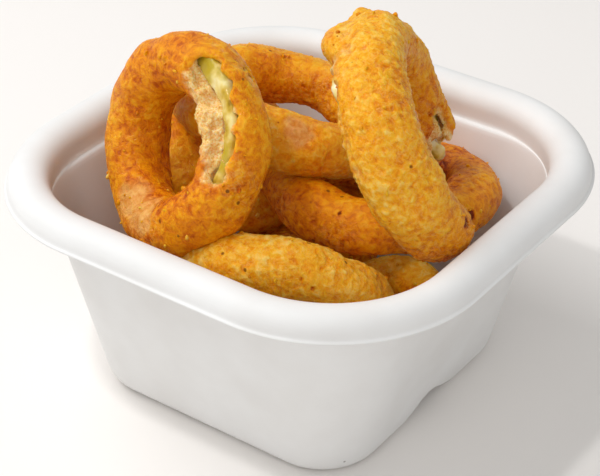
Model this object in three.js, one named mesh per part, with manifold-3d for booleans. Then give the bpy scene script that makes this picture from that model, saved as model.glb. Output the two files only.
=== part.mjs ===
// A side of onion rings in its moulded pulp box.
// The box is one thin shell of pressed plant fibre with a rolled rim. Nine battered rings lie and stand in
// it. Two of them have lost some batter, so their bands of onion are solids of their own inside the batter.
// Millimetres, +Z up. The origin is on the table, under the middle of the box.
import * as THREE from 'three';
import { mergeVertices } from 'three/addons/utils/BufferGeometryUtils.js';
import Module from 'manifold-3d';

const wasm = await Module();
wasm.setup();

// ---------------------------------------------------------------- driving dimensions

const boxHeight = 63;
const wallThick = 1.2;
const rimHalfX = 59.6; // to the crown of the rolled rim
const rimHalfY = 57.1;
const rimCorner = 34.3; // corner radius along the crown
const rimHalfWidth = 5.4; // crown to the outer face of the roll
const rimRise = 5; // height of the rolled arch
const skirtDepth = 1.2; // straight skirt under the arch
const flangeWidth = 0.8; // thin cut edge that turns out at the foot of the skirt
const flangeThick = 0.8;
const ledgeHeight = 54; // stacking ledge inside, under the rim
const ledgeWidth = 1.7;
const baseHalfX = 40.1;
const baseHalfY = 40.7;
const baseCorner = 15.5;
const baseFillet = 3.6;
const channelHalfWidth = 12; // air channel pressed up into the base, along X
const channelDepth = 3.8;

const gap = 0.3; // left between touching solids
const boxTurns = 32; // facets round the box
const loopSteps = 28; // facets round a ring
const sectionSteps = 10; // facets round a ring's batter
const onionSides = 6; // facets round a band of onion
const oval = 0.02; // how far a ring is out of round
const warp = 1; // how far a ring is bent out of flat
const lumpSize = 0.08; // unevenness of the batter, as a share of its thickness

// Each ring: the radius of its centre line, half the batter's thickness across the ring (thick) and along
// its hole (tall), the seed of its lumps, the middle of its hole and the direction that its hole faces.
// Angles round a ring are in degrees, from its level side, rising at 90. An open ring runs from one angle to
// another. A ring that was pressed against another while it was soft has a dent of that ring's shape. The
// onion is broader (broad) or hangs lower (reach) round the angle where it spills out of a tear.
const rings = [
  { name: 'ring_a', radius: 20.4, thick: 7.2, tall: 8, seed: 1, centre: [-14.8, -28.6, 73.4],
    faces: [-0.33, -0.86, 0.4], pressedBy: ['ring_f'],
    onion: { thick: 2.1, tall: 4.8, out: 2.8, shift: 0, spill: { at: 68, width: 14, reach: 0, broad: 1.5 } },
    added: [
      { at: 46, reach: 15.2, height: 3.4, size: [3.4, 5, 2.6] },
      { at: 68, reach: 16.6, height: 3.6, size: [3, 2.6, 2.4] },
    ],
    tears: [
      { at: 9, reach: 22, height: 8, size: [5, 3.8, 5] },
      { at: 24, reach: 21.8, height: 7.6, size: [6, 5.2, 5.8] },
      { at: 41, reach: 22.2, height: 7.4, size: [6, 5.4, 5.8] },
      { at: 58, reach: 22.4, height: 7.4, size: [6.4, 5.2, 6] },
      { at: 73, reach: 22.4, height: 7.6, size: [5.6, 4.4, 5.6] },
    ] },
  { name: 'ring_b', radius: 25.8, thick: 7.2, tall: 8.7, seed: 2, centre: [29.1, 5.2, 73.4],
    faces: [0.74, 0.51, 0.43], from: -44, to: 232,
    onion: { thick: 2.1, tall: 5.8, out: 0, shift: -0.8,
      spill: { at: 110, width: 18, reach: 3.2, broad: 0.4 } },
    added: [
      { at: 64, reach: 32.2, height: 0.2, size: [3, 2.2, 2.2], ragged: 0 },
      { at: 80, reach: 28.8, height: -5.6, size: [5, 8, 4.4], ragged: 0.06 },
    ],
    tears: [
      { at: 102, reach: 27, height: -10.2, size: [5, 4.4, 3.6] },
      { at: 117, reach: 27.4, height: -10.2, size: [5, 4.6, 3.6] },
      { at: -26, reach: 21.6, height: 7.4, size: [5, 6, 4.6] },
      { at: -40, reach: 21.2, height: 5.4, size: [5.4, 5, 6] },
    ] },
  { name: 'ring_c', radius: 24.2, thick: 7, tall: 6.6, seed: 3, centre: [13.8, 16, 48.5],
    faces: [-0.09, 0.19, 0.98] },
  { name: 'ring_d', radius: 22.4, thick: 7.2, tall: 7.1, seed: 4, centre: [-14.2, 12.6, 64.5],
    faces: [0.12, 0.23, 0.97], pressedBy: ['ring_b', 'ring_e'] },
  { name: 'ring_e', radius: 16.6, thick: 6.4, tall: 6.2, seed: 5, centre: [-31.8, 12.4, 44.7],
    faces: [0.6, 0, 0.8] },
  { name: 'ring_f', radius: 21, thick: 6.6, tall: 6.7, seed: 6, centre: [13.2, -27.8, 39.6],
    faces: [-0.35, 0.78, 0.52] },
  { name: 'ring_g', radius: 15.2, thick: 6.2, tall: 5.8, seed: 7, centre: [21, 5.2, 16.5],
    faces: [-0.2, -0.25, 0.95] },
  { name: 'ring_h', radius: 14.3, thick: 6.6, tall: 6.4, seed: 8, centre: [-15.6, 26.5, 19.1],
    faces: [-0.1, -0.8, 0.58] },
  { name: 'ring_i', radius: 14, thick: 6.6, tall: 6.4, seed: 9, centre: [-17, -4.2, 22.6],
    faces: [-0.5, 0.1, 0.86] },
];

// ---------------------------------------------------------------- solids

/** Turns a geometry, in the place that a matrix gives it, into a manifold solid. */
function solidOf(geometry, matrix = new THREE.Matrix4()) {
  const bare = geometry.clone().applyMatrix4(matrix);
  bare.deleteAttribute('normal');
  bare.deleteAttribute('uv');
  const merged = mergeVertices(bare, 1e-4);
  return new wasm.Manifold(new wasm.Mesh({
    numProp: 3,
    vertProperties: new Float32Array(merged.attributes.position.array),
    triVerts: new Uint32Array(merged.index.array),
  }));
}

/** Turns a manifold solid back into a geometry. */
function geometryOf(solid) {
  const mesh = solid.getMesh();
  const geometry = new THREE.BufferGeometry();
  geometry.setAttribute('position', new THREE.BufferAttribute(new Float32Array(mesh.vertProperties), 3));
  geometry.setIndex(new THREE.BufferAttribute(new Uint32Array(mesh.triVerts), 1));
  geometry.computeVertexNormals();
  return geometry;
}

// ---------------------------------------------------------------- box

/** A point on a rounded rectangle, a share of the way round it from the middle of the +X side. */
function onRoundedRectangle(share, { halfX, halfY, corner }) {
  const flatShare = 0.12; // share of a quarter that lies on each straight side
  const turn = share * 2 * Math.PI;
  const sideX = Math.cos(turn) < 0 ? -1 : 1;
  const sideY = Math.sin(turn) < 0 ? -1 : 1;
  const within = Math.acos(Math.min(Math.abs(Math.cos(turn)), 1)) / (Math.PI / 2);
  if (within <= flatShare) {
    return [sideX * halfX, sideY * (halfY - corner) * within / flatShare];
  }
  if (within >= 1 - flatShare) {
    return [sideX * (halfX - corner) * (1 - within) / flatShare, sideY * halfY];
  }
  const angle = (within - flatShare) / (1 - 2 * flatShare) * Math.PI / 2;
  return [
    sideX * (halfX - corner + corner * Math.cos(angle)),
    sideY * (halfY - corner + corner * Math.sin(angle)),
  ];
}

/** A level outline of the box: a rounded rectangle at a height, moved in or out by a distance. */
function outline(base, distance, height) {
  return {
    halfX: base.halfX + distance,
    halfY: base.halfY + distance,
    corner: base.corner + distance,
    height,
  };
}

const crown = { halfX: rimHalfX, halfY: rimHalfY, corner: rimCorner };
const innerRim = outline(crown, -rimHalfWidth, boxHeight - rimRise);

/** The outside of the tapered body at a height. */
function bodyAt(height) {
  const top = outline(innerRim, wallThick - ledgeWidth, ledgeHeight);
  const share = height / ledgeHeight;
  const cornerAtTop = 25;
  return {
    halfX: THREE.MathUtils.lerp(baseHalfX, top.halfX, share),
    halfY: THREE.MathUtils.lerp(baseHalfY, top.halfY, share),
    corner: THREE.MathUtils.lerp(baseCorner, cornerAtTop, share),
  };
}

/** The rounded foot of the body, as far inside its outside as inset says, from its flat base up. */
function footOutlines(inset) {
  const steps = 4;
  const radius = baseFillet - inset / 2;
  return Array.from({ length: steps + 1 }, (_, step) => {
    const angle = step / steps * Math.PI / 2;
    const height = inset + radius * (1 - Math.cos(angle));
    return outline(bodyAt(height), -inset - radius * (1 - Math.sin(angle)), height);
  });
}

/** The rolled rim's arch from its inner edge over the crown to its outer edge, inset by a thickness. */
function archOutlines(inset) {
  const steps = 8;
  return Array.from({ length: steps + 1 }, (_, step) => {
    const angle = Math.PI * (1 - step / steps);
    return outline(
      crown,
      (rimHalfWidth - inset) * Math.cos(angle),
      boxHeight - rimRise + (rimRise - inset) * Math.sin(angle),
    );
  });
}

/** Revolves a profile of outlines and reshapes each turn from a circle to its rounded rectangle. */
function solidFromOutlines(outlines) {
  const points = outlines.map(({ halfX, height }) => new THREE.Vector2(halfX, height));
  const lathe = new THREE.LatheGeometry(points, boxTurns);
  for (let turn = 0; turn <= boxTurns; turn += 1) {
    outlines.forEach((level, step) => {
      const [x, y] = level.halfX === 0 ? [0, 0] : onRoundedRectangle((turn % boxTurns) / boxTurns, level);
      lathe.attributes.position.setXYZ(turn * outlines.length + step, x, y, level.height);
    });
  }
  return solidOf(lathe);
}

/** The air channel as a long bar under the base, which fades out in a smooth curve to both sides. */
function channelBar(grow) {
  const below = -5;
  const steps = 14;
  const halfWidth = channelHalfWidth + grow;
  const shape = new THREE.Shape();
  shape.moveTo(-halfWidth, below);
  for (let step = 0; step <= steps; step += 1) {
    const across = halfWidth * (2 * step / steps - 1);
    shape.lineTo(across, (channelDepth + grow) * Math.cos(across / halfWidth * Math.PI / 2) ** 2);
  }
  shape.lineTo(halfWidth, below);
  const length = 2 * baseHalfX + 20;
  const bar = new THREE.ExtrudeGeometry(shape, { depth: length, bevelEnabled: false });
  bar.translate(0, 0, -length / 2).rotateX(Math.PI / 2).rotateZ(Math.PI / 2);
  return solidOf(bar);
}

/** The box: one shell from the base up the wall, over the ledge and the rolled rim to its thin cut edge. */
function boxGeometry() {
  const axisAt = (height) => ({ halfX: 0, halfY: 0, corner: 0, height });
  const skirtFoot = boxHeight - rimRise - skirtDepth;
  const outside = [axisAt(0), ...footOutlines(0)];
  const inside = [axisAt(wallThick), ...footOutlines(wallThick)];
  const shell = solidFromOutlines([
    ...outside,
    outline(bodyAt(ledgeHeight), 0, ledgeHeight - wallThick - 1),
    outline(innerRim, wallThick, ledgeHeight - wallThick),
    ...archOutlines(wallThick),
    outline(crown, rimHalfWidth - wallThick, skirtFoot),
    outline(crown, rimHalfWidth + flangeWidth, skirtFoot),
    outline(crown, rimHalfWidth + flangeWidth, skirtFoot + flangeThick),
    outline(crown, rimHalfWidth, skirtFoot + flangeThick),
    ...archOutlines(0).reverse(),
    outline(innerRim, 0, ledgeHeight),
    outline(innerRim, -ledgeWidth, ledgeHeight),
    ...inside.reverse(),
  ]);
  const lowBody = solidFromOutlines([
    ...outside,
    outline(bodyAt(2 * channelDepth), 0, 2 * channelDepth),
    axisAt(2 * channelDepth),
  ]);
  const channelRoof = channelBar(wallThick).intersect(lowBody);
  return geometryOf(shell.add(channelRoof).subtract(channelBar(0)));
}

// ---------------------------------------------------------------- rings

const { degToRad } = THREE.MathUtils;

/** A smooth unevenness between -1 and 1 at an angle round the ring and an angle round its batter. */
function unevenness(around, across, seed) {
  return 0.45 * Math.sin(2 * around + 1.7 * seed)
    + 0.3 * Math.sin(3 * around + across + 2.9 * seed)
    + 0.25 * Math.sin(5 * around - 2 * across + 4.3 * seed);
}

/** Where a ring's own uneven centre line runs at an angle: how far out and how high. */
function centreLine(ring, around) {
  return {
    reach: ring.radius * (1 + oval * Math.cos(2 * around + ring.seed)),
    rise: warp * Math.cos(2 * around + 2 * ring.seed),
  };
}

/**
 * A closed loop, or an open one with closed ends, along a ring's centre line. section says how far out and
 * how high each point of it lies; endRound is how far the ends are rounded off, 0 for a straight cut.
 */
function loopGeometry(ring, sides, section, endRound) {
  const open = ring.from !== undefined;
  const first = degToRad(open ? ring.from : 0);
  const span = degToRad(open ? ring.to - ring.from : 360);
  const columns = open ? Math.round(loopSteps * 0.7) : loopSteps;
  const torus = new THREE.TorusGeometry(ring.radius, ring.thick, sides, columns);
  let index = 0;
  for (let row = 0; row <= sides; row += 1) {
    const across = (row % sides) / sides * 2 * Math.PI;
    for (let column = 0; column <= columns; column += 1) {
      const step = open ? column : column % columns;
      const inner = open ? (THREE.MathUtils.clamp(step, 1, columns - 1) - 1) / (columns - 2) : step / columns;
      const straight = endRound === 0;
      const share = open && !straight ? step / columns : inner;
      const around = first + span * share;
      let size = 1;
      if (open && (step === 0 || step === columns)) {
        size = 0;
      } else if (open && !straight) {
        const fromEnd = Math.min(share, 1 - share) * span * ring.radius / endRound;
        size = Math.sqrt(1 - Math.max(1 - fromEnd, 0) ** 2);
      }
      const { reach, rise } = centreLine(ring, around);
      const { outward, along } = section(around, across);
      const distance = reach + outward * size;
      torus.attributes.position.setXYZ(
        index,
        distance * Math.cos(around),
        distance * Math.sin(around),
        rise + along * size,
      );
      index += 1;
    }
  }
  return torus;
}

/** Side of a rounded square: a sine or cosine with its top flattened. */
const squared = (wave, flatness) => Math.sign(wave) * Math.abs(wave) ** flatness;

/** The batter as a whole, with nothing torn away, grown by a distance. */
function batterLoop(ring, grow = 0) {
  return loopGeometry(ring, sectionSteps, (around, across) => {
    const swell = 1 + lumpSize * unevenness(around, across, ring.seed);
    return {
      outward: (ring.thick * swell + grow) * squared(Math.cos(across), 0.9),
      along: (ring.tall * swell + grow) * squared(Math.sin(across), 0.9),
    };
  }, ring.thick);
}

/** The band of onion inside a ring's batter, grown by a distance. It spills out where the batter is torn. */
function onionLoop(ring, grow) {
  const { thick, tall, out, shift, spill } = ring.onion;
  return loopGeometry(ring, onionSides, (around, across) => {
    const off = Math.atan2(Math.sin(around - degToRad(spill.at)), Math.cos(around - degToRad(spill.at)));
    const aside = out * Math.cos(off); // the band lies off centre, nearer the crust where it is torn
    const share = Math.exp(-((off / degToRad(spill.width)) ** 2));
    const edge = squared(Math.sin(across), 0.4);
    return {
      outward: aside + (thick + spill.broad * share + grow) * squared(Math.cos(across), 0.4),
      along: shift + (tall + grow + (edge < 0 ? spill.reach * share : 0)) * edge,
    };
  }, 0);
}

/** A ragged lump on a ring: its angle, its distance from the hole's middle, its height, and its size. */
function lump(ring, { at, reach, height, size, ragged = 0.16 }) {
  const [outward, around, along] = size;
  const ball = new THREE.SphereGeometry(1, 9, 6);
  const position = ball.attributes.position;
  const point = new THREE.Vector3();
  for (let index = 0; index < position.count; index += 1) {
    point.fromBufferAttribute(position, index);
    const wave = Math.sin(7 * point.x + at) + Math.sin(8 * point.y + 2 * at) + Math.sin(9 * point.z + 3 * at);
    point.multiplyScalar(1 + ragged * wave / 2);
    position.setXYZ(index, point.x * outward, point.y * around, point.z * along);
  }
  const angle = degToRad(at);
  const place = new THREE.Matrix4().makeRotationZ(angle);
  place.setPosition(reach * Math.cos(angle), reach * Math.sin(angle), height);
  return solidOf(ball, place);
}

/** Stands a ring's frame at its place: its hole along Z, its own X level. */
function placeOf(ring) {
  const facing = new THREE.Vector3(...ring.faces).normalize();
  const level = new THREE.Vector3(0, 0, 1).cross(facing).normalize();
  const rising = facing.clone().cross(level);
  return new THREE.Matrix4().makeBasis(level, rising, facing).setPosition(new THREE.Vector3(...ring.centre));
}

// ---------------------------------------------------------------- the side

const crust = new THREE.MeshStandardMaterial({ color: 0xd8891c, roughness: 0.6, metalness: 0 });
const onionFlesh = new THREE.MeshStandardMaterial({ color: 0xe6dca0, roughness: 0.3, metalness: 0 });
const pulp = new THREE.MeshStandardMaterial({ color: 0xeeece6, roughness: 0.75, metalness: 0 });

/** Adds a named mesh to a group. */
function addPart(group, name, geometry, material) {
  const mesh = new THREE.Mesh(geometry, material);
  mesh.name = name;
  group.add(mesh);
}

/** The room that another ring takes up, in a ring's own frame. */
function roomOf(other, ring) {
  return solidOf(batterLoop(other, gap), placeOf(ring).invert().multiply(placeOf(other)));
}

/** A ring in its place: whole batter, or torn batter round its band of onion. */
function makeRing(ring) {
  const group = new THREE.Group();
  let batter = solidOf(batterLoop(ring));
  for (const name of ring.pressedBy ?? []) {
    batter = batter.subtract(roomOf(rings.find((other) => other.name === name), ring));
  }
  if (ring.onion) {
    for (const piece of ring.added) {
      batter = batter.add(lump(ring, piece));
    }
    for (const tear of ring.tears) {
      batter = batter.subtract(lump(ring, tear));
    }
    batter = batter.subtract(solidOf(onionLoop(ring, gap)));
    addPart(group, `${ring.name}_batter`, geometryOf(batter), crust);
    addPart(group, `${ring.name}_onion`, geometryOf(solidOf(onionLoop(ring, 0))), onionFlesh);
  } else {
    addPart(group, ring.name, geometryOf(batter), crust);
  }
  group.applyMatrix4(placeOf(ring));
  return group;
}

const side = new THREE.Group();
addPart(side, 'box', boxGeometry(), pulp);
for (const ring of rings) {
  side.add(makeRing(ring));
}

export default side;
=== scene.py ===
"""A side of onion rings in its moulded pulp box: the looks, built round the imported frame. Metres, +Z up."""
import math

import bmesh
import bpy
import numpy as np
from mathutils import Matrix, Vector, noise


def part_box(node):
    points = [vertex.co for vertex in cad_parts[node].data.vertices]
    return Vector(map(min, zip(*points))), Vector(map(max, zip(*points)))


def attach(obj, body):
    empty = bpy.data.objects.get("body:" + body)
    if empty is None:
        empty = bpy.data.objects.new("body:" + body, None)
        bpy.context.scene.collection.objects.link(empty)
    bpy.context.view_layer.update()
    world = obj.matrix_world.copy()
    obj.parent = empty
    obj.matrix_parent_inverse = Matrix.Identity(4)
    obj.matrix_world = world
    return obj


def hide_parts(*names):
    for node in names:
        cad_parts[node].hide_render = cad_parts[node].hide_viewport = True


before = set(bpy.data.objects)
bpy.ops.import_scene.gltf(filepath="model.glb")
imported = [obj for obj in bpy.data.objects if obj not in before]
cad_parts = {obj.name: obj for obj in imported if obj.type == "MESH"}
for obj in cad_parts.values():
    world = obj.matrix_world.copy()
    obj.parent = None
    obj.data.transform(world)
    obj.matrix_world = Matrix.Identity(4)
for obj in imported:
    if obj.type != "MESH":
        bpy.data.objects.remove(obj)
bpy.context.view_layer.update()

MM = 0.001

# ------------------------------------------------------------------ the box
# A square food box of sugar-cane pulp. The wet pulp is sucked onto a mesh mould and pressed hot, so it is
# one thin shell: a foot with an air channel, tapered walls, a stacking ledge, and a rolled rim that ends in
# a thin trimmed edge. It holds up by its own stiffness and nothing is joined to it.

box_low, box_high = (np.array(corner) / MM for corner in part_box("box"))
trim_width = 0.8  # the trimmed edge stands this far out of the rim's skirt
trim_thick = 0.8
pulp_thick = 1.2
rim_half_width = 5.4
rim_rise = 5.0
skirt_depth = 1.2
ledge_height = 54.0
ledge_width = 1.7
foot_half_x, foot_half_y, foot_corner = 40.1, 40.7, 15.5
foot_radius = 3.6
top_corner = 25.0
channel_half_width = 12.0
channel_depth = 3.8
channel_fade = 10.0  # height at which the channel's dent in the foot has faded out
turns = 224
rim_height = box_high[2]
skirt_foot = rim_height - rim_rise - skirt_depth
crown = (box_high[0] - trim_width - rim_half_width, box_high[1] - trim_width - rim_half_width, 34.3)


def moved(outline, distance, height):
    """An outline of the box (half X, half Y, corner radius) moved out by a distance, at a height."""
    return [size + distance for size in outline[:3]] + [height]


def body_at(height, inset):
    """The tapered body's outside at a height, moved in by an inset."""
    top = moved(crown, pulp_thick - rim_half_width - ledge_width, ledge_height)
    share = height / ledge_height
    foot = (foot_half_x, foot_half_y, foot_corner)
    top = (top[0], top[1], top_corner)
    return moved([a + (b - a) * share for a, b in zip(foot, top)], -inset, height)


def body_side(inset, rows):
    """The outlines from the middle of the base, round the foot and up the body to the ledge."""
    radius = foot_radius - inset / 2
    rounded = []
    for angle in np.linspace(0, math.pi / 2, 9):
        height = inset + radius * (1 - math.cos(angle))
        rounded.append(moved(body_at(height, inset), -radius * (1 - math.sin(angle)), height))
    edge = rounded[0]
    from_middle = np.linspace(0, 1, 26)[:-1]
    base = [[edge[0] * share, edge[1] * share, edge[2] * share, inset] for share in from_middle]
    top = ledge_height - (pulp_thick + 0.6 if inset == 0 else 0)
    walls = [body_at(height, inset) for height in np.linspace(rounded[-1][3], top, rows)[1:]]
    return base + rounded + walls


def rolled_rim(inset, rows):
    """The outlines of the rolled rim from its inner edge over the crown to its outer edge."""
    arch = []
    for angle in np.linspace(math.pi, 0, rows):
        out = (rim_half_width - inset) * math.cos(angle)
        up = (rim_rise - inset) * math.sin(angle)
        arch.append(moved(crown, out, rim_height - rim_rise + up))
    return arch


def eased(outlines, passes):
    """Rounds the corners of a run of outlines, as pressed pulp has no sharp ones."""
    rows = np.array(outlines, float)
    for _ in range(passes):
        rows[1:-1] = (rows[:-2] + 2 * rows[1:-1] + rows[2:]) / 4
    return rows


def between(first, last, rows):
    """Outlines at even steps between two outlines, without the two."""
    return [list(row) for row in np.linspace(first, last, rows + 2)[1:-1]]


under_roll = rolled_rim(pulp_thick, 22)
over_roll = rolled_rim(0, 30)[::-1]
outside, inside = body_side(0, 34), body_side(pulp_thick, 34)
skirt_inner = moved(crown, rim_half_width - pulp_thick, skirt_foot)
trim_low = moved(crown, rim_half_width + trim_width, skirt_foot)
trim_high = moved(crown, rim_half_width + trim_width, skirt_foot + trim_thick)
skirt_outer = moved(crown, rim_half_width, skirt_foot + trim_thick)
ledge_out = moved(crown, -rim_half_width, ledge_height)
profile = (
    outside + between(outside[-1], under_roll[0], 6) + under_roll + between(under_roll[-1], skirt_inner, 2)
    + [skirt_inner] + between(skirt_inner, trim_low, 3) + [trim_low] + between(trim_low, trim_high, 1)
    + [trim_high] + between(trim_high, skirt_outer, 1) + [skirt_outer] + over_roll
    + between(over_roll[-1], ledge_out, 6) + [ledge_out] + between(ledge_out, inside[-1], 4) + inside[::-1]
)
profile = eased(profile, 2)


def round_the_box(outline):
    """Points round one outline: flat sides joined by round corners."""
    half_x, half_y, corner, height = outline
    flat_share = 0.12
    turn = np.arange(turns) / turns * 2 * math.pi
    within = np.arccos(np.clip(np.abs(np.cos(turn)), 0, 1)) / (math.pi / 2)
    angle = np.clip((within - flat_share) / (1 - 2 * flat_share), 0, 1) * math.pi / 2
    x = half_x - corner + corner * np.cos(angle)
    y = half_y - corner + corner * np.sin(angle)
    y = np.where(within < flat_share, (half_y - corner) * within / flat_share, y)
    x = np.where(within > 1 - flat_share, (half_x - corner) * (1 - within) / flat_share, x)
    points = np.stack([x * np.sign(np.cos(turn)), y * np.sign(np.sin(turn)), np.full(turns, height)], 1)
    across = np.clip(points[:, 1] / channel_half_width, -1, 1)
    dent = channel_depth * np.cos(across * math.pi / 2) ** 2
    points[:, 2] += dent * max(1 - height / channel_fade, 0)
    return points


def new_piece(name, points, faces):
    """A mesh object of points in millimetres."""
    mesh = bpy.data.meshes.new(name)
    mesh.from_pydata((np.asarray(points) * MM).tolist(), [], faces)
    mesh.validate()
    mesh.shade_smooth()
    piece = bpy.data.objects.new(name, mesh)
    bpy.context.scene.collection.objects.link(piece)
    return piece


levels = [round_the_box(row) for row in profile[1:-1]]
middle_low = [0, 0, profile[0][3] + channel_depth]
middle_high = [0, 0, profile[-1][3] + channel_depth * (1 - pulp_thick / channel_fade)]
shell_points = np.concatenate(levels + [[middle_low, middle_high]])
shell_faces = []
for level in range(len(levels) - 1):
    for turn in range(turns):
        following = (turn + 1) % turns
        low, high = level * turns, (level + 1) * turns
        shell_faces.append((low + turn, low + following, high + following, high + turn))
low_middle, high_middle = len(shell_points) - 2, len(shell_points) - 1
last = (len(levels) - 1) * turns
for turn in range(turns):
    following = (turn + 1) % turns
    shell_faces.append((low_middle, following, turn))
    shell_faces.append((high_middle, last + turn, last + following))
box = new_piece("pulp_box", shell_points, shell_faces)


def linear(hex_colour):
    """An sRGB hex colour as the linear colour that a shader takes."""
    parts = [int(hex_colour[i:i + 2], 16) / 255 for i in (0, 2, 4)]
    return [c / 12.92 if c <= 0.04045 else ((c + 0.055) / 1.055) ** 2.4 for c in parts] + [1]


def add(tree, kind, settings=None, inputs=None, links=None, stops=()):
    """Adds a node with its settings, input values, the sockets that feed it and its stops of (place, hex)."""
    made = tree.nodes.new("ShaderNode" + kind)
    for name, value in (settings or {}).items():
        setattr(made, name, value)
    for name, value in (inputs or {}).items():
        made.inputs[name].default_value = value
    for name, socket in (links or {}).items():
        tree.links.new(socket, made.inputs[name])
    for number, (share, colour) in enumerate(stops):
        if number >= len(made.color_ramp.elements):
            made.color_ramp.elements.new(share)
        made.color_ramp.elements[number].position = share
        made.color_ramp.elements[number].color = linear(colour)
    return made


def empty_material(name):
    """A material with only its output, and its node tree."""
    material = bpy.data.materials.new(name)
    material.use_nodes = True
    material.node_tree.nodes.clear()
    return material, material.node_tree


# Sugar-cane pulp, pressed hot: a dry off-white with a faint cloudiness and a few grey specks of fibre. Its
# surface is matt, with a soft gloss on the rim where the mould pressed hardest.
pulp, tree = empty_material("pressed_cane_pulp")
speck_spacing = 14 * MM
cloud_size = 18 * MM
fibre_size = 1.1 * MM  # real fibres are finer; drawn this coarse to show
place = add(tree, "TexCoord").outputs["Object"]
cloud = add(tree, "TexNoise", inputs={"Scale": 1 / cloud_size, "Detail": 3}, links={"Vector": place})
fibre = add(tree, "TexNoise", inputs={"Scale": 1 / fibre_size, "Detail": 4, "Roughness": 0.6},
            links={"Vector": place})
speck = add(tree, "TexVoronoi", inputs={"Scale": 1 / speck_spacing, "Randomness": 1}, links={"Vector": place})
speck_size = 0.028
is_speck = add(tree, "MapRange", inputs={"From Min": speck_size * 1.5, "From Max": speck_size},
               links={"Value": speck.outputs["Distance"]})
speck_kind = add(tree, "SeparateColor", links={"Color": speck.outputs["Color"]})
few = add(tree, "MapRange", inputs={"From Min": 0.45, "From Max": 0.55},
          links={"Value": speck_kind.outputs[0]})
speck_share = add(tree, "Math", {"operation": "MULTIPLY"},
                  links={0: is_speck.outputs["Result"], 1: few.outputs["Result"]})
shade = add(tree, "ValToRGB", links={"Fac": cloud.outputs["Fac"]}, stops=[(0.3, "E7E6E4"), (0.7, "EEEEED")])
pulp_colour = add(tree, "Mix", {"data_type": "RGBA"}, {"B": linear("8E8780")},
                  {"Factor": speck_share.outputs["Value"], "A": shade.outputs["Color"]})
bump = add(tree, "Bump", inputs={"Strength": 0.25, "Distance": 0.1 * MM},
           links={"Height": fibre.outputs["Fac"]})
roughness = add(tree, "MapRange", inputs={"To Min": 0.5, "To Max": 0.62},
                links={"Value": cloud.outputs["Fac"]})
shader = add(tree, "BsdfPrincipled", inputs={"IOR": 1.47},
             links={"Base Color": pulp_colour.outputs["Result"], "Roughness": roughness.outputs["Result"],
                    "Normal": bump.outputs["Normal"]})
add(tree, "OutputMaterial", links={"Surface": shader.outputs["BSDF"]})
box.data.materials.append(pulp)
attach(box, "root")
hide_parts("box")

# ------------------------------------------------------------------ the battered rings
# Onion rings dipped in a thick flour batter and deep fried. The batter sets into a lumpy tube with a pebbled
# crust, browner on its bumps and edges. The rings are dropped into the box in a loose pile, so each one lies
# or stands as it fell and nothing holds it but the others.

crust_voxel = 0.4 * MM
crust_gain = 0.45  # mm that the rounding takes off a ring, put back with the crust
crust_rounding = 90  # passes that round a ring's facets away


class Ring:
    """Where a ring lies, read from its CAD node: its middle, its hole's direction and its radius, in mm."""

    def __init__(self, node):
        points = np.array([v.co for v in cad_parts[node].data.vertices]) / MM
        middle = points.mean(0)
        _, _, directions = np.linalg.svd(points - middle, full_matrices=False)
        self.axis = directions[2] if directions[2][2] > 0 else -directions[2]
        self.level = np.cross([0, 0, 1], self.axis)
        self.level /= np.linalg.norm(self.level)
        self.rising = np.cross(self.axis, self.level)
        flat = np.stack([(points - middle) @ self.level, (points - middle) @ self.rising], 1)
        terms = np.column_stack([2 * flat, np.ones(len(flat))])
        fitted = np.linalg.lstsq(terms, (flat ** 2).sum(1), rcond=None)[0]
        self.middle = middle + self.level * fitted[0] + self.rising * fitted[1]
        self.radius = math.sqrt(fitted[2] + fitted[0] ** 2 + fitted[1] ** 2)

    def local(self, points):
        """Angle round the ring in degrees, distance out from its middle and height along its hole."""
        away = points - self.middle
        x, y, z = away @ self.level, away @ self.rising, away @ self.axis
        return np.degrees(np.arctan2(y, x)), np.hypot(x, y), z

    def at(self, angle, out, height):
        """The point at an angle, a distance out and a height along the hole."""
        turn = math.radians(angle)
        flat = self.level * math.cos(turn) + self.rising * math.sin(turn)
        return self.middle + flat * out + self.axis * height


def remeshed(node, name, voxel):
    """A copy of a CAD node as an even mesh of small faces."""
    copy = bpy.data.objects.new(name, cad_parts[node].data.copy())
    bpy.context.scene.collection.objects.link(copy)
    welded = bmesh.new()
    welded.from_mesh(copy.data)
    bmesh.ops.remove_doubles(welded, verts=welded.verts, dist=voxel / 100)
    welded.to_mesh(copy.data)
    welded.free()
    modifier = copy.modifiers.new("even", "REMESH")
    modifier.mode = "VOXEL"
    modifier.voxel_size = voxel
    evaluated = copy.evaluated_get(bpy.context.evaluated_depsgraph_get())
    mesh = bpy.data.meshes.new_from_object(evaluated)
    copy.modifiers.clear()
    copy.data = mesh
    mesh.materials.clear()
    mesh.shade_smooth()
    return copy


def points_of(piece):
    """A piece's vertices in millimetres."""
    flat = np.zeros(len(piece.data.vertices) * 3)
    piece.data.vertices.foreach_get("co", flat)
    return flat.reshape(-1, 3) / MM


def place_points(piece, points):
    """Moves a piece's vertices to points in millimetres."""
    piece.data.vertices.foreach_set("co", (points * MM).ravel())
    piece.data.update()


def normals_of(piece):
    """A piece's vertex normals."""
    flat = np.zeros(len(piece.data.vertices) * 3)
    piece.data.vertex_normals.foreach_get("vector", flat)
    return flat.reshape(-1, 3)


def relaxed(piece, passes, share):
    """Moves each vertex towards the middle of its neighbours, by one share or by a share for each vertex."""
    edges = np.zeros(len(piece.data.edges) * 2, int)
    piece.data.edges.foreach_get("vertices", edges)
    first, second = edges.reshape(-1, 2).T
    points = points_of(piece)
    count = len(points)
    valence = np.bincount(first, minlength=count) + np.bincount(second, minlength=count)
    share = np.broadcast_to(share, count)[:, None]
    for _ in range(passes):
        around = np.stack([
            np.bincount(first, points[second, k], count) + np.bincount(second, points[first, k], count)
            for k in range(3)], 1) / valence[:, None]
        points = points + share * (around - points)
    place_points(piece, points)


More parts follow.
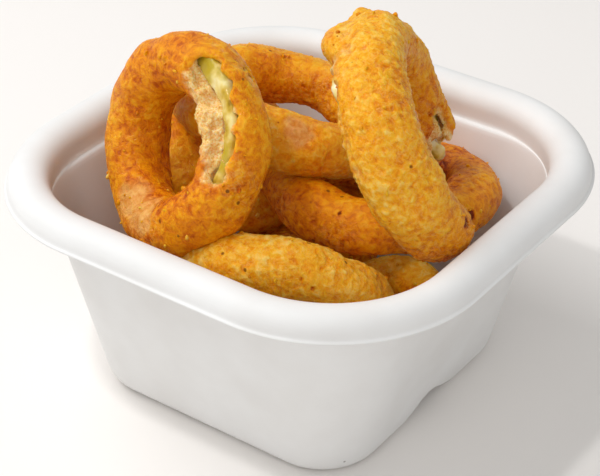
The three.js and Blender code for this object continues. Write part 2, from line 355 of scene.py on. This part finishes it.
def stepped(value, low, high):
    """0 below low, 1 above high and a smooth step between. low may be the larger."""
    share = np.clip((value - low) / (high - low), 0, 1)
    return share * share * (3 - 2 * share)


def soft_noise(points, size, seed, octaves=1):
    """Smooth noise from about -1 to 1 at points in mm, with lumps of a size."""
    offset = Vector((seed * 17.3, seed * 31.7, seed * 5.9))
    if octaves == 1:
        return np.array([noise.noise(Vector(p) / size + offset) for p in points])
    return np.array([noise.fractal(Vector(p) / size + offset, 0.8, 2.1, octaves) for p in points])


def pebbles(points, size, seed):
    """Round bumps side by side, 1 on top of a bump and 0 in the cracks between."""
    offset = Vector((seed * 7.1, seed * 3.3, seed * 11.9))
    nearest = np.array([noise.voronoi(Vector(p) / size + offset)[0][0] for p in points])
    return 1 - stepped(nearest, 0.0, 0.85)


def add_values(piece, name, values):
    """Stores a number for each vertex, which the material reads."""
    layer = piece.data.attributes.new(name, "FLOAT", "POINT")
    layer.data.foreach_set("value", np.asarray(values, np.float32))


def near(ring, points, spots):
    """1 at a ring's spots, 0 away from them. A spot is an angle, a distance out, a height and a size."""
    share = np.zeros(len(points))
    for angle, out, height, size in spots:
        distance = np.linalg.norm(points - ring.at(angle, out, height), axis=1)
        distance = distance + 0.3 * size * soft_noise(points, 0.45 * size, angle)
        share = np.maximum(share, stepped(distance, size, 0.55 * size))
    return share


def fry(piece, seed, looks, ring, torn=None):
    """Raises the fried crust: swells, blisters, pebbles and grain. torn is 1 where only crumb shows."""
    points, normals = points_of(piece), normals_of(piece)
    torn = np.zeros(len(points)) if torn is None else torn
    pale = near(ring, points, looks.get("pale", []))
    scorch = near(ring, points, looks.get("scorched", []))
    swell = soft_noise(points, 16, seed) + 0.6 * soft_noise(points, 8.5, seed + 8)
    lumps = soft_noise(points, 4.8, seed + 1)
    blistering = soft_noise(points, 12, seed + 2) + 0.9 * (2 * looks["pebbly"] - 1)
    patch = stepped(blistering, -0.3, 0.4) * (1 - pale)
    pebble = pebbles(points, 1.75, seed + 3)
    grain = soft_noise(points, 1.15, seed + 4, 3)
    crust_height = (crust_gain + 0.95 * swell + 0.4 * lumps + patch * 0.3 * (pebble - 0.45)
                    + (0.09 + 0.1 * patch) * grain - 0.35 * pale - 0.5 * scorch)
    crumb_height = (0.4 * grain + 0.3 * soft_noise(points, 1.0, seed + 5)
                    + 1.2 * soft_noise(points, 3.6, seed + 9)
                    + 1.2 * (pebbles(points, 2.7, seed + 10) - 0.4))
    height = crust_height * (1 - torn) + crumb_height * torn
    place_points(piece, points + normals * height[:, None])
    add_values(piece, "relief", 0.5 + 0.5 * patch * (pebble - 0.4) + 0.2 * grain + 0.12 * lumps)
    _, out, _ = ring.local(points)
    # Painted shade: the crust is made browner inside each ring's hole, where shade falls.
    painted_hole_shade = stepped(ring.radius - out, -1, 6)
    # Painted shade: the crust is made browner low in the pile, under the rings above it.
    painted_low_shade = looks.get("low_shade_share", 0) * stepped(points[:, 2], 74, 44)
    patches_and_painted_shade = 0.3 * soft_noise(points, 15, seed + 6) + 0.16 * soft_noise(points, 5, seed + 7)
    patches_and_painted_shade += 0.24 * painted_hole_shade + painted_low_shade
    # This value holds the crust's browning and scorch together with the painted shade above.
    add_values(piece, "browning_and_shade", looks["browning_and_shade"] + patches_and_painted_shade + 0.9 * scorch)
    add_values(piece, "pebbled", patch)
    add_values(piece, "pale", pale)
    add_values(piece, "torn", torn)


# Fried flour batter: a dry, glassy crust with a film of oil, so it has a broken soft gloss over a golden
# yellow with pale veins, brown where it scorched. It is paler on its bumps and more orange between them,
# partly its own colour and partly painted highlight and painted shade. Light goes a little way in and comes
# back orange.
# Where the crust is thin or torn off, the pale steamed crumb shows.
crust, tree = empty_material("fried_batter")
grit_size = 0.5 * MM
vein_size = 1.9 * MM
froth_size = 1.7 * MM  # of the pale veins in a well blistered crust
fleck_spacing = 8 * MM
place = add(tree, "TexCoord").outputs["Object"]
relief = add(tree, "Attribute", {"attribute_name": "relief"}).outputs["Fac"]
browning_and_shade = add(tree, "Attribute", {"attribute_name": "browning_and_shade"}).outputs["Fac"]
pebbled = add(tree, "Attribute", {"attribute_name": "pebbled"}).outputs["Fac"]
pale_share = add(tree, "Attribute", {"attribute_name": "pale"}).outputs["Fac"]
torn_share = add(tree, "Attribute", {"attribute_name": "torn"}).outputs["Fac"]
veins = add(tree, "TexNoise", links={"Vector": place},
            inputs={"Scale": 1 / vein_size, "Detail": 4, "Roughness": 0.6, "Distortion": 0.6})
grit = add(tree, "TexNoise", inputs={"Scale": 1 / grit_size, "Detail": 3, "Roughness": 0.6},
           links={"Vector": place})
spread = add(tree, "MapRange", inputs={"From Min": 0.35, "From Max": 0.65, "To Min": 0.1, "To Max": 0.51},
             links={"Value": veins.outputs["Fac"]})
# Raised crust is made paler and hollows more orange: partly the crust's own colour, partly painted highlight
# on the bumps and painted shade in the hollows.
lift = add(tree, "Math", {"operation": "MULTIPLY_ADD"}, {1: 0.4}, {0: relief, 2: spread.outputs["Result"]})
tone = add(tree, "Math", {"operation": "MULTIPLY_ADD"}, {1: -0.55}, {0: browning_and_shade, 2: lift.outputs["Value"]})
golden = add(tree, "ValToRGB", links={"Fac": tone.outputs["Value"]},
             stops=[(0.0, "7C2A02"), (0.16, "BE5402"), (0.36, "DF7E08"),
                    (0.56, "F09C0A"), (0.78, "F8B626"), (1.0, "FBCF68")])
froth = add(tree, "TexNoise", links={"Vector": place},
            inputs={"Scale": 1 / froth_size, "Detail": 2, "Roughness": 0.55, "Distortion": 0.9})
ridge = add(tree, "Math", {"operation": "SUBTRACT"}, {1: 0.5}, {0: froth.outputs["Fac"]})
ridge_off = add(tree, "Math", {"operation": "ABSOLUTE"}, links={0: ridge.outputs["Value"]})
web = add(tree, "MapRange", inputs={"From Min": 0.05, "From Max": 0.0, "To Max": 0.3},
          links={"Value": ridge_off.outputs["Value"]})
web_share = add(tree, "Math", {"operation": "MULTIPLY"}, links={0: web.outputs["Result"], 1: pebbled})
webbed = add(tree, "Mix", {"data_type": "RGBA"}, {"B": linear("FAD27A")},
             {"Factor": web_share.outputs["Value"], "A": golden.outputs["Color"]})
fleck = add(tree, "TexVoronoi", inputs={"Scale": 1 / fleck_spacing}, links={"Vector": place})
is_fleck = add(tree, "MapRange", inputs={"From Min": 0.075, "From Max": 0.045, "To Max": 0.8},
               links={"Value": fleck.outputs["Distance"]})
flecked = add(tree, "Mix", {"data_type": "RGBA"}, {"B": linear("5E2606")},
              {"Factor": is_fleck.outputs["Result"], "A": webbed.outputs["Result"]})
thin = add(tree, "ValToRGB", links={"Fac": veins.outputs["Fac"]},
           stops=[(0.35, "D98428"), (0.65, "F0B666")])
crumbling = add(tree, "Math", {"operation": "MULTIPLY_ADD"}, {1: 0.5}, {0: relief, 2: grit.outputs["Fac"]})
crumb = add(tree, "ValToRGB", links={"Fac": crumbling.outputs["Value"]},
            stops=[(0.42, "C87820"), (0.6, "EAA94C"), (0.76, "F8CC80"), (0.93, "FCE4B0")])
skinned = add(tree, "Mix", {"data_type": "RGBA"},
              links={"Factor": pale_share, "A": flecked.outputs["Result"], "B": thin.outputs["Color"]})
batter_colour = add(tree, "Mix", {"data_type": "RGBA"},
                    links={"Factor": torn_share, "A": skinned.outputs["Result"], "B": crumb.outputs["Color"]})
roughened = add(tree, "Math", {"operation": "MULTIPLY_ADD"}, {1: 1.6},
                {0: veins.outputs["Fac"], 2: grit.outputs["Fac"]})
bump = add(tree, "Bump", inputs={"Strength": 1.0, "Distance": 0.34 * MM},
           links={"Height": roughened.outputs["Value"]})
gloss = add(tree, "MapRange", inputs={"From Min": 0.5, "From Max": 0.6, "To Min": 0.56, "To Max": 0.2},
            links={"Value": grit.outputs["Fac"]})
shader = add(tree, "BsdfPrincipled", {"subsurface_method": "RANDOM_WALK"},
             {"IOR": 1.45, "Specular IOR Level": 0.05, "Coat Weight": 0.32, "Coat Roughness": 0.1,
              "Coat IOR": 1.45, "Subsurface Weight": 0.3, "Subsurface Scale": 3.0 * MM,
              "Subsurface Radius": (1.0, 0.3, 0.05)},
             {"Base Color": batter_colour.outputs["Result"], "Roughness": gloss.outputs["Result"],
              "Normal": bump.outputs["Normal"], "Coat Normal": bump.outputs["Normal"]})
add(tree, "OutputMaterial", links={"Surface": shader.outputs["BSDF"]})

# For each ring: how much of it is pebbled; how brown it is, which is partly its own fry colour and partly
# painted light that makes rings lying in shade paler; how much darker it is low in the pile, as painted
# shade; and its spots of thin pale crust (pale) and of burnt crust (scorched).
whole_rings = {
    "ring_c": {"pebbly": 0.4, "browning_and_shade": -0.2, "low_shade_share": 0.45,
               "scorched": [(145, 30, 2.1, 1.6), (78, 30.1, 3.8, 0.8)]},
    "ring_d": {"pebbly": 0.5, "browning_and_shade": -0.3, "pale": [(149, 26.5, 6, 5.5)]},
    "ring_e": {"pebbly": 0.3, "browning_and_shade": -0.05, "pale": [(-150, 14, 5, 6)]},
    "ring_f": {"pebbly": 0.8, "browning_and_shade": -0.42,
               "scorched": [(111, 26, -5.1, 0.8), (119, 24.7, -6.3, 0.9)]},
    "ring_g": {"pebbly": 0.4, "browning_and_shade": -0.45},
    "ring_h": {"pebbly": 0.4, "browning_and_shade": 0.1},
    "ring_i": {"pebbly": 0.4, "browning_and_shade": 0.2},
}
fried_rings = []
for number, (node, looks) in enumerate(whole_rings.items()):
    piece = remeshed(node, node + "_fried", crust_voxel)
    relaxed(piece, crust_rounding, 0.5)
    fry(piece, 10 * number + 3, looks, Ring(node))
    piece.data.materials.append(crust)
    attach(piece, "root")
    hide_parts(node)
    fried_rings.append(piece)

# ------------------------------------------------------------------ the torn rings
# Two of the rings have lost some batter. The crust broke away with part of the crumb under it, which left a
# ragged trough with a pale wall, and the band of onion shows at the bottom of it.

# The onion lies off the middle of the batter by onion_off, towards the angle onion_side. Beside the tears
# there are spots where the crust came off its crumb (crumbly).
torn_rings = {
    "ring_a": {"thick": 7.2, "tall": 8.0, "onion_off": 2.8, "onion_side": 68, "turn": 1, "pebbly": 0.3,
               "browning_and_shade": 0.04, "low_shade_share": 0.15, "pale": [(-77, 17.9, 8.3, 7), (-101, 17.4, 7, 6)],
               "scorched": [(-112, 17, 7.2, 1.2)],
               "crumbly": [(27, 17.5, 5.5, 4.5), (36, 16, 5, 6), (46, 15.4, 4.6, 6.5), (56, 16, 5, 6),
                           (76, 18.5, 6, 3.6), (9, 22, 6.5, 4.5)]},
    "ring_b": {"thick": 7.2, "tall": 8.7, "onion_off": 0.0, "onion_side": 0, "turn": 2, "pebbly": 0.9,
               "browning_and_shade": -0.28, "low_shade_share": 1.0, "pale": [(101, 29.5, -7.5, 4), (117, 29.5, -7.5, 4)],
               "scorched": [(-153, 26.8, 8, 2), (140, 30.7, 6.2, 0.9), (66, 34.5, 0.9, 1.1)],
               "crumbly": [(104, 28.5, -7.5, 3.4), (117, 28.5, -7.5, 3)]},
}
for number, (name, looks) in enumerate(torn_rings.items()):
    node = name + "_batter"
    ring = Ring(name + "_onion")
    ring.middle = ring.at(looks["onion_side"], -looks["onion_off"], 0)
    piece = remeshed(node, node + "_fried", crust_voxel)
    points = points_of(piece)
    around, out, height = ring.local(points)
    double = 2 * np.radians(around)
    centre_out = ring.radius * (1 + 0.02 * np.cos(double + looks["turn"]))
    centre_up = np.cos(double + 2 * looks["turn"])
    depth = np.hypot((out - centre_out) / looks["thick"], (height - centre_up) / looks["tall"])
    torn = stepped(depth + 0.05 * soft_noise(points, 2.2, 70 + number), 0.9, 0.8)
    torn = np.maximum(torn, near(ring, points, looks["crumbly"]))
    relaxed(piece, crust_rounding, 0.5 * (1 - 0.85 * torn))
    fry(piece, 90 + 10 * number, looks, ring, torn)
    piece.data.materials.append(crust)
    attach(piece, "root")
    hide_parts(node)
    fried_rings.append(piece)

# ------------------------------------------------------------------ the onion
# The bands are single rings of a yellow onion's flesh, cut across and cooked inside the batter by its steam.
# They are soft, wet and half clear. Where a band goes in under the batter it is painted a darker olive green,
# as painted shade.

onion_voxel = 0.4 * MM
onion_rounding = 14

# Steamed onion flesh: watery and half clear, so light runs deep into it and it has a wet, sharp gloss. It is
# cream clouded with darker yellow, with painted shade in olive green where the band goes under the batter.
flesh, tree = empty_material("steamed_onion")
cloud_size = 5 * MM
vein_size = 1.1 * MM
place = add(tree, "TexCoord").outputs["Object"]
clouding = add(tree, "TexNoise", inputs={"Scale": 1 / cloud_size, "Detail": 3}, links={"Vector": place})
vein = add(tree, "TexNoise", inputs={"Scale": 1 / vein_size, "Detail": 2}, links={"Vector": place})
flesh_colour = add(tree, "ValToRGB", links={"Fac": clouding.outputs["Fac"]},
                   stops=[(0.32, "A07E0A"), (0.44, "CFAC40"), (0.58, "EAD58A"), (0.72, "F8EFC8")])
# Painted shade: a darker olive green where the band goes under the batter.
onion_end_shade = add(tree, "Attribute", {"attribute_name": "onion_end_shade"}).outputs["Fac"]
end_shaded_flesh = add(tree, "Mix", {"data_type": "RGBA"}, {"B": linear("B9A01C")},
              {"Factor": onion_end_shade, "A": flesh_colour.outputs["Color"]})
bump = add(tree, "Bump", inputs={"Strength": 0.3, "Distance": 0.15 * MM},
           links={"Height": vein.outputs["Fac"]})
shader = add(tree, "BsdfPrincipled", {"subsurface_method": "RANDOM_WALK"},
             {"IOR": 1.36, "Roughness": 0.12, "Subsurface Weight": 0.6, "Subsurface Scale": 3.0 * MM,
              "Subsurface Radius": (1.0, 0.9, 0.4)},
             {"Base Color": end_shaded_flesh.outputs["Result"], "Normal": bump.outputs["Normal"]})
add(tree, "OutputMaterial", links={"Surface": shader.outputs["BSDF"]})

end_wear = {"ring_a": 0.0, "ring_b": 0.8}  # how far the band's open end has shrunk, as a share of its height
# Painted shade: the spots where the onion goes under the batter, which are painted olive green.
onion_shade_spots = {"ring_a": [(80, 20, 5, 5), (66, 24, 5, 3.4), (9, 20, 5, 4)], "ring_b": []}
for number, name in enumerate(torn_rings):
    node = name + "_onion"
    piece = remeshed(node, node + "_band", onion_voxel)
    relaxed(piece, onion_rounding, 0.5)
    points = points_of(piece)
    wave = 0.4 * soft_noise(points, 3.2, 50 + number) + 0.14 * soft_noise(points, 1.2, 60 + number)
    points = points + normals_of(piece) * wave[:, None]
    ring = Ring(node)
    around, _, height = ring.local(points)
    ragged = 0.75 + 0.5 * soft_noise(points, 2.4, 64 + number)
    shrink = np.clip(end_wear[name] * stepped(around, -22, -34) * ragged, 0, 0.9)
    points = points - ring.axis * (shrink * (height - 1.5))[:, None]
    place_points(piece, points)
    # Painted shade in olive green at those spots.
    add_values(piece, "onion_end_shade", 0.85 * near(ring, points, onion_shade_spots[name]))
    piece.data.materials.append(flesh)
    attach(piece, "root")
    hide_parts(node)

# ------------------------------------------------------------------ the crumbs
# Drops of thin batter and bits of crust fried hard in the same oil. They stuck to the rings as these were
# lifted out, and are the same batter.

crumbs_on_a_ring = 70
crumb_least, crumb_most = 0.25, 0.65  # mm, half across
draw = np.random.default_rng(11)
seed_ball = bmesh.new()
bmesh.ops.create_icosphere(seed_ball, subdivisions=2, radius=1)
ball = np.array([vertex.co for vertex in seed_ball.verts])
ball_faces = np.array([[vertex.index for vertex in face.verts] for face in seed_ball.faces])
seed_ball.free()
crumb_points, crumb_faces = [], []
for fried in fried_rings:
    points, normals = points_of(fried), normals_of(fried)
    torn = np.zeros(len(points), np.float32)
    fried.data.attributes["torn"].data.foreach_get("value", torn)
    upward = np.flatnonzero((normals[:, 2] > -0.2) & (torn < 0.05))
    for spot in draw.choice(upward, crumbs_on_a_ring):
        size = crumb_least + (crumb_most - crumb_least) * draw.random() ** 2.5
        stretch = 1 + 0.35 * draw.standard_normal(3)
        lumpy = 1 + 0.3 * soft_noise(ball * 2 + draw.random() * 90, 1.1, 4)[:, None]
        crumb_faces += (ball_faces + len(crumb_points) * len(ball)).tolist()
        lump = ball * lumpy * size * np.clip(stretch, 0.6, 1.5)
        crumb_points.append(points[spot] + normals[spot] * size * 0.1 + lump)
crumbs = new_piece("fried_crumbs", np.concatenate(crumb_points), crumb_faces)
tint = np.repeat(draw.random(len(crumb_points)), len(ball))
add_values(crumbs, "relief", 0.45 + 0.5 * tint)
add_values(crumbs, "browning_and_shade", 0.35 - 0.6 * tint)
for unused in ("pebbled", "pale", "torn"):
    add_values(crumbs, unused, np.zeros(len(tint)))
crumbs.data.materials.append(crust)
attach(crumbs, "root")

# ------------------------------------------------------------------ the studio
# A plain pale floor that runs on past the view, and an even white surround. A big soft light stands at the
# left, a weaker one in front, and a small one above gives the oil its glints.

floor = new_piece("floor", [[-4000, -4000, 0], [4000, -4000, 0], [4000, 4000, 0], [-4000, 4000, 0]],
                  [(0, 1, 2, 3)])
paper, tree = empty_material("pale_floor")
shader = add(tree, "BsdfPrincipled", inputs={"Base Color": linear("F6F2EE"), "Roughness": 0.8})
add(tree, "OutputMaterial", links={"Surface": shader.outputs["BSDF"]})
floor.data.materials.append(paper)

world = bpy.data.worlds.new("surround")
bpy.context.scene.world = world
world.use_nodes = True
world.node_tree.nodes["Background"].inputs["Color"].default_value = (1, 1, 1, 1)
world.node_tree.nodes["Background"].inputs["Strength"].default_value = 0.48


def soft_light(name, place, aim, size, power):
    """A square soft light at a place, in metres, turned towards a point."""
    lamp = bpy.data.lights.new(name, "AREA")
    lamp.size = size
    lamp.energy = power
    holder = bpy.data.objects.new(name, lamp)
    holder.location = place
    holder.rotation_euler = (Vector(aim) - Vector(place)).to_track_quat("-Z", "Y").to_euler()
    bpy.context.scene.collection.objects.link(holder)


pile = (0, 0, 0.05)
soft_light("key", (-0.62, -0.12, 0.82), pile, 0.6, 4.5)
soft_light("fill", (0.35, -0.6, 0.62), pile, 0.5, 1.3)
soft_light("sparkle", (-0.15, -0.3, 0.8), pile, 0.05, 1.5)

view_azimuth, view_elevation = math.radians(35.86), math.radians(33.38)
view_distance = 0.5
view_target = Vector((-2.49, 2.95, 34.46)) * MM
camera = bpy.data.objects.new("camera", bpy.data.cameras.new("camera"))
level_distance = view_distance * math.cos(view_elevation)
camera.location = view_target + Vector((
    level_distance * math.sin(view_azimuth),
    -level_distance * math.cos(view_azimuth),
    view_distance * math.sin(view_elevation),
))
camera.rotation_euler = (view_target - camera.location).to_track_quat("-Z", "Y").to_euler()
camera.data.lens = 115.05
camera.data.clip_start = 0.01
bpy.context.scene.collection.objects.link(camera)
bpy.context.scene.camera = camera
bpy.context.scene.view_settings.view_transform = "Standard"
